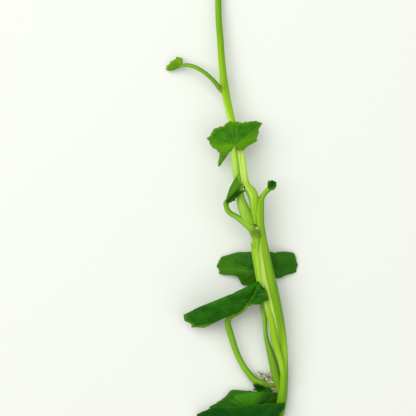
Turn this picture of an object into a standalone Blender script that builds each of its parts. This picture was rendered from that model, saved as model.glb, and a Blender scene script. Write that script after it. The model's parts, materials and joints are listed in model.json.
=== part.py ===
# A cut shoot of Japanese cress lying on a flat surface, seen best from above.
# Two juicy stems rise together from one node near the cut end. Stalks leave
# their nodes and each carries a lobed, toothed blade. X runs across the shoot,
# Y along it from the cut end to the growing tip, Z up from the surface.
import math

import bmesh
import bpy
from mathutils import Vector

MM = 0.001

# Driving dimensions, in millimetres
BLADE_THICKNESS = 0.45
YOUNG_THICKNESS = 0.35
TOOTH_DEPTH = 0.06
FOOT_SHARE = 0.07
STEM_STEP = 2.6
STALK_STEP = 2.0
STEM_RESOLUTION = 3
STALK_RESOLUTION = 2
COLUMNS = 3
ROWS = 4

STEM_GREEN = (0.28, 0.50, 0.05)
STALK_GREEN = (0.25, 0.45, 0.05)
BRIGHT_LEAF = (0.075, 0.25, 0.01)
DARK_LEAF = (0.025, 0.13, 0.01)
YOUNG_LEAF = (0.12, 0.30, 0.015)

# Middle lines from the low end up, as x, y, z and radius in millimetres
SHORT_STEM = [
    (14.8, -81.0, 1.5, 1.40), (15.9, -74.5, 2.3, 1.50), (16.8, -68.5, 3.0, 1.60),
    (17.3, -62.5, 3.9, 1.35), (17.4, -56.0, 5.0, 1.20), (16.9, -48.5, 5.7, 1.15),
    (15.6, -40.5, 6.5, 1.25), (14.1, -33.3, 6.9, 1.35), (12.7, -27.5, 7.2, 1.35),
    (11.1, -19.5, 7.4, 1.20), (9.9, -12.0, 7.3, 1.10), (9.6, -5.5, 7.6, 1.05),
    (9.9, -2.3, 8.0, 0.90), (10.8, -0.6, 8.3, 0.80), (11.9, 0.5, 8.6, 0.70),
]
LONG_STEM = [
    (15.9, -55.8, 6.9, 0.70), (15.2, -52.6, 7.1, 1.10), (14.4, -49.3, 7.2, 1.40),
    (13.4, -43.3, 7.8, 1.50), (12.1, -38.0, 8.3, 1.55),
    (10.9, -33.3, 8.7, 1.60), (9.8, -29.0, 9.0, 1.65), (8.2, -19.7, 9.3, 1.60),
    (7.6, -13.5, 9.3, 1.45), (7.4, -8.0, 9.2, 1.10), (7.1, -3.8, 9.1, 1.35),
    (6.6, -0.9, 9.0, 1.65), (5.2, 1.3, 8.9, 1.45), (4.2, 4.5, 8.8, 1.25),
    (3.3, 9.0, 8.4, 1.27), (2.6, 14.0, 7.6, 1.20), (1.3, 19.3, 6.8, 1.20),
    (-0.3, 24.7, 6.1, 1.25), (-1.7, 31.0, 5.4, 1.32), (-2.5, 35.0, 5.0, 1.42),
    (-2.9, 38.5, 4.6, 1.25), (-3.4, 44.5, 4.0, 1.15), (-3.9, 51.5, 3.4, 1.10),
    (-4.4, 58.0, 2.9, 1.05), (-4.6, 64.5, 2.4, 1.00), (-4.8, 70.0, 2.0, 0.90),
    (-4.6, 74.5, 1.6, 0.75), (-4.2, 78.0, 1.3, 0.50),
]
UPPER_STALK = [
    (-4.8, 35.4, 5.0, 0.55), (-5.6, 36.5, 5.2, 0.55), (-7.0, 38.0, 5.4, 0.55),
    (-9.5, 40.0, 5.3, 0.60), (-12.1, 41.5, 4.8, 0.62), (-14.2, 42.2, 4.3, 0.60),
    (-15.7, 42.3, 3.9, 0.55),
]
FRONT_STALK = [
    (5.7, -10.3, 10.8, 0.70), (4.9, -7.6, 10.4, 1.10), (3.8, -5.0, 10.0, 1.60),
    (3.0, -2.6, 9.8, 1.45), (2.6, -0.8, 9.8, 1.25), (1.9, 2.5, 9.9, 1.15),
    (1.3, 5.5, 9.9, 1.12), (0.8, 9.2, 9.8, 1.08), (0.4, 12.2, 9.6, 0.85),
    (0.5, 14.3, 10.2, 0.55),
]
FOLDED_STALK = [
    (4.8, -12.3, 9.0, 0.70), (3.5, -10.4, 8.9, 0.85), (1.4, -8.3, 9.0, 0.80),
    (-0.1, -7.3, 9.3, 0.75), (-1.5, -6.1, 9.7, 0.77), (-2.1, -4.7, 10.2, 0.72),
    (-2.4, -3.6, 10.8, 0.60),
]
REAR_STALK = [
    (14.7, -62.3, 3.3, 1.00), (14.5, -58.5, 3.6, 1.15), (13.5, -55.2, 3.8, 1.25),
    (12.5, -52.0, 4.0, 1.20), (11.5, -48.5, 4.1, 0.85), (11.0, -44.0, 4.2, 0.75),
    (10.4, -39.5, 4.3, 0.85), (9.8, -35.0, 4.3, 0.88), (9.2, -28.4, 4.2, 0.70),
]
LARGE_STALK = [
    (14.8, -65.3, 3.1, 0.75), (12.6, -64.8, 2.8, 0.85), (10.0, -64.2, 2.7, 0.95),
    (7.4, -62.9, 2.8, 1.05), (5.5, -60.5, 3.2, 1.02),
    (3.7, -58.0, 3.5, 0.95), (1.5, -53.5, 3.8, 0.95), (-0.3, -48.0, 4.1, 1.02),
    (-1.3, -44.2, 4.6, 1.05), (-1.2, -42.6, 5.2, 0.95), (0.1, -41.5, 6.0, 0.80),
    (1.9, -40.8, 6.5, 0.65), (3.4, -39.7, 7.1, 0.62), (4.6, -38.4, 8.2, 0.50),
]
LOW_FRONT_STALK = [
    (12.7, -77.6, 1.8, 0.75), (11.6, -80.0, 2.0, 0.80), (9.8, -81.9, 2.6, 0.75),
    (8.3, -81.4, 3.5, 0.60),
]
LOW_REAR_STALK = [
    (13.8, -73.4, 2.2, 0.65), (11.2, -74.2, 2.1, 0.65), (7.9, -74.0, 2.4, 0.50),
]
TIP_LEFT_STALK = [
    (-6.5, 69.8, 2.0, 0.45), (-7.9, 71.5, 1.9, 0.45), (-9.1, 72.9, 1.8, 0.40),
]
TIP_RIGHT_STALK = [
    (-3.1, 73.4, 1.6, 0.40), (-1.7, 74.7, 1.5, 0.40), (-0.3, 75.7, 1.4, 0.35),
]


def clear_scene():
    for thing in list(bpy.data.objects):
        bpy.data.objects.remove(thing, do_unlink=True)


def smooth_value(values, place):
    """The value at a place along evenly spaced ones, on a curve through them all."""
    last = len(values) - 1
    place = min(max(place, 0.0), float(last))
    step = min(int(place), last - 1)
    f = place - step
    before = values[max(step - 1, 0)]
    start = values[step]
    end = values[step + 1]
    after = values[min(step + 2, last)]
    bend_in = (end - before) * 0.5
    bend_out = (after - start) * 0.5
    return (
        start * (2 * f**3 - 3 * f**2 + 1)
        + bend_in * (f**3 - 2 * f**2 + f)
        + end * (3 * f**2 - 2 * f**3)
        + bend_out * (f**3 - f**2)
    )


def plant_material(name, colour, roughness):
    material = bpy.data.materials.new(name)
    material.use_nodes = True
    shader = material.node_tree.nodes["Principled BSDF"]
    shader.inputs["Base Color"].default_value = (*colour, 1.0)
    shader.inputs["Roughness"].default_value = roughness
    shader.inputs["Metallic"].default_value = 0.0
    return material


def stem(name, route, step, resolution, material):
    """A round stem or stalk along a hand-laid route, its width changing on the way."""
    points = [Vector(p[:3]) for p in route]
    radii = [p[3] for p in route]
    curve = bpy.data.curves.new(name, "CURVE")
    curve.dimensions = "3D"
    curve.bevel_depth = MM
    curve.bevel_resolution = resolution
    curve.use_fill_caps = True
    spline = curve.splines.new("POLY")
    length = sum((b - a).length for a, b in zip(points, points[1:]))
    count = max(4, round(length / step))
    spline.points.add(count)
    for i, point in enumerate(spline.points):
        place = i / count * (len(points) - 1)
        point.co = (*((smooth_value(points, place) - points[0]) * MM), 1.0)
        point.radius = smooth_value(radii, place)
    curve.materials.append(material)
    obj = bpy.data.objects.new(name, curve)
    obj.location = points[0] * MM
    return obj


def rib(tip, over=None, rise=0.0, notch=0.06):
    """A main vein: its tip, where it bends over, and the notch in the margin after it."""
    return {"tip": Vector(tip), "over": over, "rise": rise, "notch": notch}


def young_ribs(foot, heading, size, droop):
    """The veins of a small flat leaf that points along heading, in radians."""
    ribs = []
    for turn, share in ((-2.35, 0.55), (-1.8, 0.8), (-0.9, 0.95), (0.0, 1.0),
                        (0.9, 0.95), (1.8, 0.8), (2.35, 0.55)):
        angle = heading - turn
        reach = size * share
        tip = (
            foot[0] + math.cos(angle) * reach,
            foot[1] + math.sin(angle) * reach,
            foot[2] - droop * share,
        )
        ribs.append(rib(tip, rise=0.3, notch=0.15))
    return ribs


def blade(name, foot, ribs, material, thickness=BLADE_THICKNESS):
    """A lobed blade: a sheet spread from its foot along its veins, made solid."""
    foot = Vector(foot)
    tips = [r["tip"] for r in ribs]
    bends = []
    for r in ribs:
        if r["over"] is None:
            bends.append((foot + r["tip"]) * 0.5 + Vector((0, 0, 2 * r["rise"])))
        else:
            bends.append(Vector(r["over"]) * 2 - (foot + r["tip"]) * 0.5)
    gaps = len(ribs) - 1
    sheet = bmesh.new()
    bmesh.ops.create_grid(sheet, x_segments=gaps * COLUMNS, y_segments=ROWS, size=1.0)
    for vertex in sheet.verts:
        place = (1 - vertex.co.x) * 0.5 * gaps
        out = FOOT_SHARE + (1 - FOOT_SHARE) * (vertex.co.y + 1) * 0.5
        gap = min(int(place + 1e-6), gaps - 1)
        between = place - gap
        notch = ribs[gap]["notch"] * math.sin(math.pi * between) ** 2
        tooth = TOOTH_DEPTH * (0.5 - 0.5 * math.cos(2 * math.pi * COLUMNS / 2 * between))
        t = out * (1 - (notch + tooth) * out)
        point = (
            foot * (1 - t) ** 2
            + smooth_value(bends, place) * 2 * t * (1 - t)
            + smooth_value(tips, place) * t**2
        )
        point.z = max(point.z, thickness / 2)
        vertex.co = (point - foot) * MM
    mesh = bpy.data.meshes.new(name)
    sheet.to_mesh(mesh)
    sheet.free()
    mesh.shade_smooth()
    mesh.materials.append(material)
    obj = bpy.data.objects.new(name, mesh)
    obj.location = foot * MM
    solid = obj.modifiers.new("thickness", "SOLIDIFY")
    solid.thickness = thickness * MM
    solid.offset = 0.0
    return obj


def make_stems(green):
    return [
        stem("short_stem", SHORT_STEM, STEM_STEP, STEM_RESOLUTION, green),
        stem("long_stem", LONG_STEM, STEM_STEP, STEM_RESOLUTION, green),
    ]


def make_stalks(green):
    routes = {
        "upper_leaf_stalk": UPPER_STALK,
        "front_leaf_stalk": FRONT_STALK,
        "folded_leaf_stalk": FOLDED_STALK,
        "rear_leaf_stalk": REAR_STALK,
        "large_leaf_stalk": LARGE_STALK,
        "low_front_leaf_stalk": LOW_FRONT_STALK,
        "low_rear_leaf_stalk": LOW_REAR_STALK,
        "tip_left_leaf_stalk": TIP_LEFT_STALK,
        "tip_right_leaf_stalk": TIP_RIGHT_STALK,
    }
    return [
        stem(name, route, STALK_STEP, STALK_RESOLUTION, green)
        for name, route in routes.items()
    ]


def upper_leaf(green):
    """The small yellow-green leaf on the long thin stalk, its tip on the surface."""
    ribs = [
        rib((-18.7, 41.3, 2.6)),
        rib((-20.9, 40.6, 1.2), rise=0.3),
        rib((-22.3, 41.1, 0.3), rise=0.4),
        rib((-22.1, 42.4, 0.5), rise=0.4, notch=0.1),
        rib((-20.5, 43.8, 1.2), rise=0.4, notch=0.10),
        rib((-18.4, 45.5, 2.2), rise=0.3),
        rib((-16.5, 44.8, 3.0)),
    ]
    return blade("upper_leaf_blade", (-16.5, 42.3, 3.8), ribs, green)


def front_leaf(green):
    """The bright leaf held flat above the long stem, with a long lower left lobe."""
    ribs = [
        rib((-3.6, 10.2, 5.4), over=(-2.0, 13.1, 9.6)),
        rib((-4.7, 8.3, 4.8), rise=1.0, notch=0.24),
        rib((-7.4, 15.8, 5.8), rise=0.9),
        rib((-8.3, 17.9, 6.2), rise=0.9),
        rib((-6.0, 21.1, 7.2), rise=0.8),
        rib((-0.8, 23.6, 8.6), rise=0.6),
        rib((4.2, 23.4, 8.8), rise=0.6),
        rib((10.2, 22.6, 7.0), rise=0.9, notch=0.1),
        rib((9.1, 19.8, 6.8), rise=0.9),
        rib((8.3, 17.0, 7.4), rise=0.8, notch=0.22),
        rib((4.0, 13.9, 9.7), rise=0.5),
        rib((1.9, 14.1, 10.9), rise=0.2),
    ]
    return blade("front_leaf_blade", (0.7, 15.4, 11.8), ribs, green)


def folded_leaf(green):
    """The small leaf folded along its middle, both halves raised like an open book."""
    ribs = [
        rib((2.1, 6.0, 14.5), over=(-0.5, 1.9, 13.1)),
        rib((2.6, 4.0, 14.8), notch=0.08),
        rib((3.4, 2.7, 13.9), notch=0.10),
        rib((2.8, 0.9, 12.3)),
        rib((4.5, 0.6, 13.2), notch=0.10),
        rib((2.6, -1.2, 13.8), notch=0.06),
        rib((1.0, -2.8, 13.6), notch=0.06),
        rib((-1.1, -4.4, 12.7)),
    ]
    return blade("folded_leaf_blade", (-2.1, -2.8, 11.4), ribs, green)


def rear_leaf(green):
    """The dark leaf behind both stems, its two side tips on the surface."""
    ribs = [
        rib((6.3, -31.8, 2.2), rise=0.1),
        rib((3.5, -31.2, 1.4), rise=0.7, notch=0.03),
        rib((1.2, -27.9, 2.2), rise=0.8, notch=0.02),
        rib((-4.2, -27.4, 0.3), rise=1.0),
        rib((-5.1, -24.8, 0.2), rise=1.0, notch=0.02),
        rib((-3.4, -21.8, 0.3), rise=1.0, notch=0.03),
        rib((1.7, -20.1, 2.4), rise=0.8, notch=0.02),
        rib((6.7, -19.8, 3.8), rise=0.5),
        rib((12.0, -19.8, 3.8), rise=0.5),
        rib((17.3, -19.8, 2.8), rise=0.8, notch=0.02),
        rib((20.9, -20.5, 1.2), rise=1.0),
        rib((22.3, -24.6, 0.2), rise=1.0),
        rib((21.6, -26.9, 0.3), rise=1.0, notch=0.10),
        rib((16.5, -28.6, 1.4), rise=0.7),
        rib((13.4, -29.4, 2.0), rise=0.4),
    ]
    return blade("rear_leaf_blade", (9.0, -26.6, 4.3), ribs, green)


def large_leaf(green):
    """The largest leaf, folded back over a crest so that half of it lies beneath."""
    ribs = [
        rib((3.2, -39.0, 8.6)),
        rib((1.2, -40.7, 8.0), rise=0.3, notch=0.04),
        rib((-1.4, -41.3, 7.6), rise=0.6, notch=0.02),
        rib((-4.8, -42.9, 6.5), rise=1.1, notch=0.03),
        rib((-9.4, -45.4, 4.8), rise=1.6, notch=0.04),
        rib((-13.4, -45.2, 3.6), rise=2.2, notch=0.06),
        rib((-16.2, -42.2, 3.6), over=(-6.0, -39.7, 10.0)),
        rib((-13.5, -40.8, 2.0), over=(-9.0, -38.2, 10.7)),
        rib((-7.5, -39.5, 0.3), over=(-4.7, -36.0, 11.5), notch=0.08),
        rib((0.0, -38.0, 0.2), over=(0.3, -33.7, 12.6), notch=0.10),
        rib((4.5, -36.3, 0.2), over=(4.7, -31.7, 12.9), notch=0.10),
        rib((7.0, -34.5, 2.5), over=(7.8, -30.4, 12.4), notch=0.30),
        rib((10.8, -32.3, 11.8), over=(8.1, -33.2, 12.6), notch=0.04),
        rib((12.2, -35.7, 11.4), rise=1.0, notch=0.15),
        rib((9.7, -37.5, 10.4), rise=0.8),
        rib((7.3, -37.9, 9.9), rise=0.3),
        rib((5.7, -38.7, 9.5)),
    ]
    return blade("large_leaf_blade", (4.8, -37.0, 9.9), ribs, green)


def low_front_leaf(green):
    """The dark leaf at the foot of the shoot, bent over the cut end of the stem."""
    ribs = [
        rib((2.0, -82.7, 2.6), rise=0.3),
        rib((-5.7, -82.0, 1.2), rise=0.8, notch=0.10),
        rib((-11.3, -78.7, 0.3), rise=1.2),
        rib((-11.7, -74.6, 1.2), rise=1.2, notch=0.03),
        rib((-6.2, -71.8, 4.5), rise=0.8),
        rib((-0.8, -71.6, 6.3), rise=0.8, notch=0.02),
        rib((5.8, -70.7, 7.2), rise=0.6, notch=0.02),
        rib((12.6, -70.2, 7.2), rise=0.6, notch=0.03),
        rib((17.6, -70.0, 6.8), rise=0.8, notch=0.10),
        rib((17.2, -73.5, 5.8), rise=0.6, notch=0.12),
        rib((14.7, -78.2, 4.8), rise=0.5),
        rib((12.2, -82.0, 4.4), rise=0.2),
    ]
    return blade("low_front_leaf_blade", (7.7, -79.6, 4.7), ribs, green)


def low_rear_leaf(green):
    """The lighter leaf under the dark one, its toothed top edge showing."""
    ribs = [
        rib((0.0, -77.0, 0.6)),
        rib((-5.0, -75.5, 0.3), rise=0.3, notch=0.10),
        rib((-7.6, -72.3, 0.2), rise=0.4),
        rib((-4.8, -70.4, 0.6), rise=0.4),
        rib((-2.0, -68.4, 1.4), rise=0.4),
        rib((0.6, -66.0, 2.2), rise=0.3),
        rib((6.0, -66.4, 2.8), rise=0.2),
        rib((10.8, -66.8, 2.2), rise=0.2),
        rib((15.3, -67.4, 1.2), rise=0.3, notch=0.04),
        rib((15.0, -71.0, 1.0)),
    ]
    return blade("low_rear_leaf_blade", (6.7, -73.4, 2.9), ribs, green)


def curled_leaf(green):
    """The young leaf at the end of the short stem, still cupped."""
    ribs = [
        rib((12.3, 2.6, 9.7), over=(11.7, 1.9, 8.9)),
        rib((12.9, 3.9, 10.4), over=(12.0, 2.9, 8.6)),
        rib((13.9, 3.6, 10.8), over=(13.3, 2.9, 8.1)),
        rib((14.5, 2.6, 10.4), over=(14.2, 1.9, 8.3)),
        rib((13.7, 1.4, 9.8), over=(13.5, 0.9, 8.7)),
    ]
    return blade("curled_leaf", (12.3, 1.0, 8.8), ribs, green, YOUNG_THICKNESS)


def tip_leaves(green):
    """The small leaves at the growing tip, the last two straight from the stem."""
    left_foot = (-9.9, 73.9, 1.7)
    right_foot = (0.6, 76.4, 1.3)
    end_foot = (-4.4, 79.2, 1.2)
    return [
        blade("tip_left_leaf_blade", left_foot, young_ribs(left_foot, 2.4, 3.9, 1.2),
              green, YOUNG_THICKNESS),
        blade("tip_right_leaf_blade", right_foot, young_ribs(right_foot, 0.6, 3.2, 0.9),
              green, YOUNG_THICKNESS),
        blade("tip_end_leaf", end_foot, young_ribs(end_foot, 1.7, 3.0, 0.8)[1:-1],
              green, YOUNG_THICKNESS),
    ]


def build_plant():
    clear_scene()
    plant = bpy.data.collections.new("japanese cress")
    bpy.context.scene.collection.children.link(plant)
    stem_green = plant_material("juicy stem", STEM_GREEN, 0.35)
    stalk_green = plant_material("leaf stalk", STALK_GREEN, 0.38)
    bright_green = plant_material("bright blade", BRIGHT_LEAF, 0.40)
    dark_green = plant_material("dark blade", DARK_LEAF, 0.42)
    young_green = plant_material("young blade", YOUNG_LEAF, 0.42)
    pieces = make_stems(stem_green) + make_stalks(stalk_green)
    pieces += [
        upper_leaf(young_green),
        front_leaf(bright_green),
        folded_leaf(bright_green),
        rear_leaf(dark_green),
        large_leaf(dark_green),
        low_front_leaf(dark_green),
        low_rear_leaf(bright_green),
        curled_leaf(young_green),
    ]
    pieces += tip_leaves(young_green)
    for piece in pieces:
        plant.objects.link(piece)


build_plant()
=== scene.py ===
# The dressed cress shoot: juicy ribbed stems, channelled leaf stalks and toothed,
# veined blades, laid on a pale floor and seen from straight above.
import json
import math
import random

import bmesh
import bpy
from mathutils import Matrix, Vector, noise


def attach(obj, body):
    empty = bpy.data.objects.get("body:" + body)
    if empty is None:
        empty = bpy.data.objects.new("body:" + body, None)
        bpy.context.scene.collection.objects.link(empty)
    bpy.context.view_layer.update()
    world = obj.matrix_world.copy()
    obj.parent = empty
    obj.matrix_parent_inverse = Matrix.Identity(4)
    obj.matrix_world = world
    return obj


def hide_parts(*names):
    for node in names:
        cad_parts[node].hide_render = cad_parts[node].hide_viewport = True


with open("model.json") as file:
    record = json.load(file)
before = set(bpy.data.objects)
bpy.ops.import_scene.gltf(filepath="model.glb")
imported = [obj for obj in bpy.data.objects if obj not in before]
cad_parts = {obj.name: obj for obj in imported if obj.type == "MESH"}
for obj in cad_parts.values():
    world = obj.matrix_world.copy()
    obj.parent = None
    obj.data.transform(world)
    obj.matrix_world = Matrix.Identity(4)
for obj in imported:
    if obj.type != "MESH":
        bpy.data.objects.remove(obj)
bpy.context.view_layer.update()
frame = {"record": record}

# The view. The shoot lies flat, so a long lens looks straight down on it. The
# square picture is 138.7 mm wide at the height of the stems, with the cut end just
# below its lower edge and the growing tip above its upper one.
MM = 0.001
picture_width = 138.67 * MM
stem_height = 6 * MM
lens = bpy.data.cameras.new("overhead lens")
lens.lens = 196
lens.sensor_width = 36
camera = bpy.data.objects.new("overhead camera", lens)
distance = picture_width * lens.lens / lens.sensor_width
camera.location = (-8.0 * MM, -5.33 * MM, stem_height + distance)
bpy.context.scene.collection.objects.link(camera)
bpy.context.scene.camera = camera
bpy.context.scene.view_settings.view_transform = "Standard"


# The two stems. Each is one juicy, slightly angular strand of soft green tissue with
# paler ribs running its length, swollen at its nodes. The long one grows out of the
# short one near its foot, and the short one ends below in a clean cut.
class Tone:
    """A shader socket. Sums on it add Math nodes, and node() adds any other node."""

    def __init__(self, tree, socket=None):
        self.tree = tree
        self.socket = socket

    def node(self, kind, settings=None, values=None, output=0):
        made = self.tree.nodes.new(kind)
        for name, value in (settings or {}).items():
            setattr(made, name, value)
        for name, value in (values or {}).items():
            if isinstance(value, Tone):
                self.tree.links.new(value.socket, made.inputs[name])
            else:
                made.inputs[name].default_value = value
        return Tone(self.tree, made.outputs[output])

    def sum(self, operation, first, second=0.0):
        return self.node("ShaderNodeMath", {"operation": operation}, {0: first, 1: second})

    def __add__(self, other):
        return self.sum("ADD", self, other)

    def __radd__(self, other):
        return self.sum("ADD", other, self)

    def __sub__(self, other):
        return self.sum("SUBTRACT", self, other)

    def __rsub__(self, other):
        return self.sum("SUBTRACT", other, self)

    def __mul__(self, other):
        return self.sum("MULTIPLY", self, other)

    def __rmul__(self, other):
        return self.sum("MULTIPLY", other, self)

    def __abs__(self):
        return self.sum("ABSOLUTE", self)

    def most(self, other):
        return self.sum("MAXIMUM", self, other)

    def fade(self, low, high):
        """0 where this is low, 1 where it is high, and smooth between."""
        ends = {"Value": self, "From Min": low, "From Max": high}
        return self.node("ShaderNodeMapRange", {"interpolation_type": "SMOOTHSTEP"}, ends)

    def cover(self, under, over):
        """The under colour, hidden by the over colour where this is 1."""
        colours = {0: self, 6: under, 7: over}
        for place in (6, 7):
            if not isinstance(colours[place], Tone):
                colours[place] = (*colours[place], 1.0)
        return self.node("ShaderNodeMix", {"data_type": "RGBA"}, colours, output=2)

    def attribute(self, name, output="Fac"):
        return self.node("ShaderNodeAttribute", {"attribute_name": name}, output=output)

    def stretched(self, scale):
        """This vector, longer or shorter along each of its axes."""
        settings = {"operation": "MULTIPLY"}
        return self.node("ShaderNodeVectorMath", settings, {0: self, 1: scale})

    def cloud(self, scale, detail=2.0):
        """Soft noise at this place, from 0 to 1."""
        sockets = {"Vector": self, "Scale": scale, "Detail": detail}
        return self.node("ShaderNodeTexNoise", None, sockets)


def bare_material(name, gloss, soak, soak_reach):
    """A material whose light soaks a little way in, with the shader and its sockets."""
    material = bpy.data.materials.new(name)
    material.use_nodes = True
    shader = material.node_tree.nodes["Principled BSDF"]
    shader.inputs["Subsurface Weight"].default_value = soak
    shader.inputs["Subsurface Radius"].default_value = soak_reach
    shader.inputs["Subsurface Scale"].default_value = MM
    shader.inputs["Specular IOR Level"].default_value = gloss
    return material, shader, Tone(material.node_tree)


def feed(shader, **sockets):
    """Links what changes over the surface to the shader."""
    names = {"colour": "Base Color", "roughness": "Roughness", "normal": "Normal"}
    for name, tone in sockets.items():
        tone.tree.links.new(tone.socket, shader.inputs[names[name]])


# Painted shade: how much darker a strand is on its right side, away from the
# light, than in the middle
painted_side_shade = 0.26


def stem_finish(name, deep, lime, pale, stain):
    """Soft green flesh: deep, lime or pale by its own tone and painted light, streaked along
    its length.
    """
    material, shader, tone = bare_material(name, 0.14, 0.30, (0.7, 1.0, 0.10))
    shader.inputs["Coat Weight"].default_value = 0.04
    shader.inputs["Coat Roughness"].default_value = 0.16
    grain = tone.attribute("grain", "Vector")
    right = tone.node("ShaderNodeSeparateXYZ", None, {0: grain})
    streaks = grain.stretched((1.6, 1.6, 0.06)).cloud(1.0, 3.0)
    threads = grain.stretched((5.5, 5.5, 0.10)).cloud(1.0, 2.0)
    flecks = grain.stretched((3.0, 3.0, 1.6)).cloud(1.0, 2.0)
    light = tone.attribute("light") - right * painted_side_shade
    colour = (light + (streaks - 0.5) * 0.9).fade(0.0, 0.62).cover(deep, lime)
    band = (light + (streaks - 0.5) * 1.2 + (threads - 0.5) * 0.5).fade(0.55, 1.12)
    colour = band.cover(colour, pale)
    darker = threads.fade(0.56, 0.74) * 0.24 + flecks.fade(0.58, 0.76) * 0.22
    colour = darker.cover(colour, deep)
    spot = tone.attribute("stain") + (flecks - 0.5) * tone.attribute("stain") * 2.0
    colour = spot.fade(0.15, 0.85).cover(colour, stain)
    height = threads * 0.6 + flecks * 0.4
    relief = {"Height": height, "Strength": 0.35, "Distance": 0.06 * MM}
    feed(shader, colour=colour, roughness=0.28 + flecks * 0.16 + spot * 0.2,
         normal=tone.node("ShaderNodeBump", None, relief))
    return material


def smooth_value(values, place):
    """The value at a place along evenly spaced ones, on a curve through them all."""
    last = len(values) - 1
    place = min(max(place, 0.0), float(last))
    step = min(int(place), last - 1)
    f = place - step
    before = values[max(step - 1, 0)]
    start = values[step]
    end = values[step + 1]
    after = values[min(step + 2, last)]
    bend_in = (end - before) * 0.5
    bend_out = (after - start) * 0.5
    return (
        start * (2 * f**3 - 3 * f**2 + 1)
        + bend_in * (f**3 - 2 * f**2 + f)
        + end * (3 * f**2 - 2 * f**3)
        + bend_out * (f**3 - f**2)
    )


def near(point, spots):
    """How strongly the nearest of some round spots (centre, reach, strength) acts."""
    worst = 0.0
    for centre, reach, strength in spots:
        apart = (point - Vector(centre)).length / reach
        worst = max(worst, strength * math.exp(-apart * apart))
    return worst


def add_piece(name, sheet, material, slot, *nodes):
    """Makes the mesh a piece of the shoot that stands for its plain solids."""
    mesh = bpy.data.meshes.new(name)
    for vertex in sheet.verts:
        vertex.co *= MM
    sheet.to_mesh(mesh)
    sheet.free()
    mesh.shade_smooth()
    mesh.materials.append(material)
    piece = bpy.data.objects.new(name, mesh)
    bpy.context.scene.collection.objects.link(piece)
    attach(piece, "root")
    if nodes:
        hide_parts(*nodes)
    return piece


# A strand swells and thins a little along its length, its ribs wind slowly round it,
# and finer ribs lie between them
swell_share = 0.035
swell_per_mm = 0.11
twist_per_mm = 0.006
fine_ribs = 11
fine_ridge_share = 0.3
channel_half_angle = 0.55
# The radii of the rings that close a rounded end, as shares of its own
end_rings = [0.30, 0.55, 0.78, 0.93]
# The rings of a cut end: their radii and how far they lie in from its edge
cut_rings = ((0.0, 0.22), (0.3, 0.20), (0.6, 0.10), (0.86, 0.0), (0.95, -0.02))


def strand(sheet, route, light, stains=(), sides=40, step=0.4, ribs=5, ridge=0.05,
           channel=0.0, cut=False):
    """Adds a ribbed strand along a route of x, y, z and radius, closed at both ends."""
    grain_layer = sheet.verts.layers.float_vector["grain"]
    light_layer = sheet.verts.layers.float["light"]
    stain_layer = sheet.verts.layers.float["stain"]
    points = [Vector(p[:3]) for p in route]
    radii = [p[3] for p in route]
    places = []
    for i, (a, b) in enumerate(zip(points, points[1:])):
        count = max(2, round((b - a).length / step))
        places += [i + k / count for k in range(count)]
    places.append(len(points) - 1.0)
    centres = [smooth_value(points, p) for p in places]
    sizes = [smooth_value(radii, p) for p in places]
    rings = []
    for i, centre in enumerate(centres):
        ahead = centres[min(i + 1, len(centres) - 1)] - centres[max(i - 1, 0)]
        rings.append((centre, ahead.normalized(), sizes[i], i / (len(centres) - 1)))
    edge, ahead, size, _ = rings[0]
    if cut:
        first_rings = [
            (edge + ahead * depth * size, ahead, size * share, 0.0)
            for share, depth in cut_rings
        ]
    else:
        first_rings = [
            (edge - ahead * size * math.sqrt(1 - s * s), ahead, size * s, 0.0)
            for s in [0.0] + end_rings
        ]
    edge, ahead, size, _ = rings[-1]
    last_rings = [
        (edge + ahead * size * math.sqrt(1 - s * s), ahead, size * s, 1.0)
        for s in end_rings[::-1] + [0.0]
    ]
    rings = first_rings + rings + last_rings
    along = 0.0
    last_centre = rings[0][0]
    loops = []
    for centre, ahead, size, share in rings:
        along += (centre - last_centre).length
        last_centre = centre
        across = ahead.cross(Vector((0, 0, 1))).normalized()
        above = across.cross(ahead)
        swell_place = Vector((swell_per_mm * along, 3.7, route[0][0]))
        swell = 1 + swell_share * noise.noise(swell_place)
        brightness = smooth_value(light, share * (len(light) - 1))
        loop = []
        for k in range(sides):
            turn = 2 * math.pi * k / sides
            lean = turn + twist_per_mm * along
            fine_ridge = fine_ridge_share * ridge
            shape = 1 + ridge * math.cos(ribs * lean) + fine_ridge * math.cos(fine_ribs * lean)
            from_top = min(abs(turn - math.pi / 2), abs(turn - 5 * math.pi / 2))
            shape -= channel * math.exp(-((from_top / channel_half_angle) ** 2))
            spoke = across * math.cos(turn) + above * math.sin(turn)
            point = centre + spoke * size * swell * shape
            vertex = sheet.verts.new(point)
            vertex[grain_layer] = Vector((math.cos(turn), math.sin(turn), along))
            vertex[light_layer] = brightness
            vertex[stain_layer] = near(point, stains)
            loop.append(vertex)
            if size == 0:
                break
        loops.append(loop)
    for low, high in zip(loops, loops[1:]):
        for k in range(sides):
            n = (k + 1) % sides
            if len(low) == 1:
                sheet.faces.new((low[0], high[n], high[k]))
            elif len(high) == 1:
                sheet.faces.new((low[k], low[n], high[0]))
            else:
                sheet.faces.new((low[k], low[n], high[n], high[k]))


def strand_sheet():
    """An empty mesh with the three things that a strand notes at each point."""
    sheet = bmesh.new()
    sheet.verts.layers.float_vector.new("grain")
    sheet.verts.layers.float.new("light")
    sheet.verts.layers.float.new("stain")
    return sheet


stem_green = stem_finish(
    "juicy stem", deep=(0.120, 0.300, 0.001), lime=(0.260, 0.490, 0.006),
    pale=(0.510, 0.760, 0.110), stain=(0.120, 0.110, 0.010),
)
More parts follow.
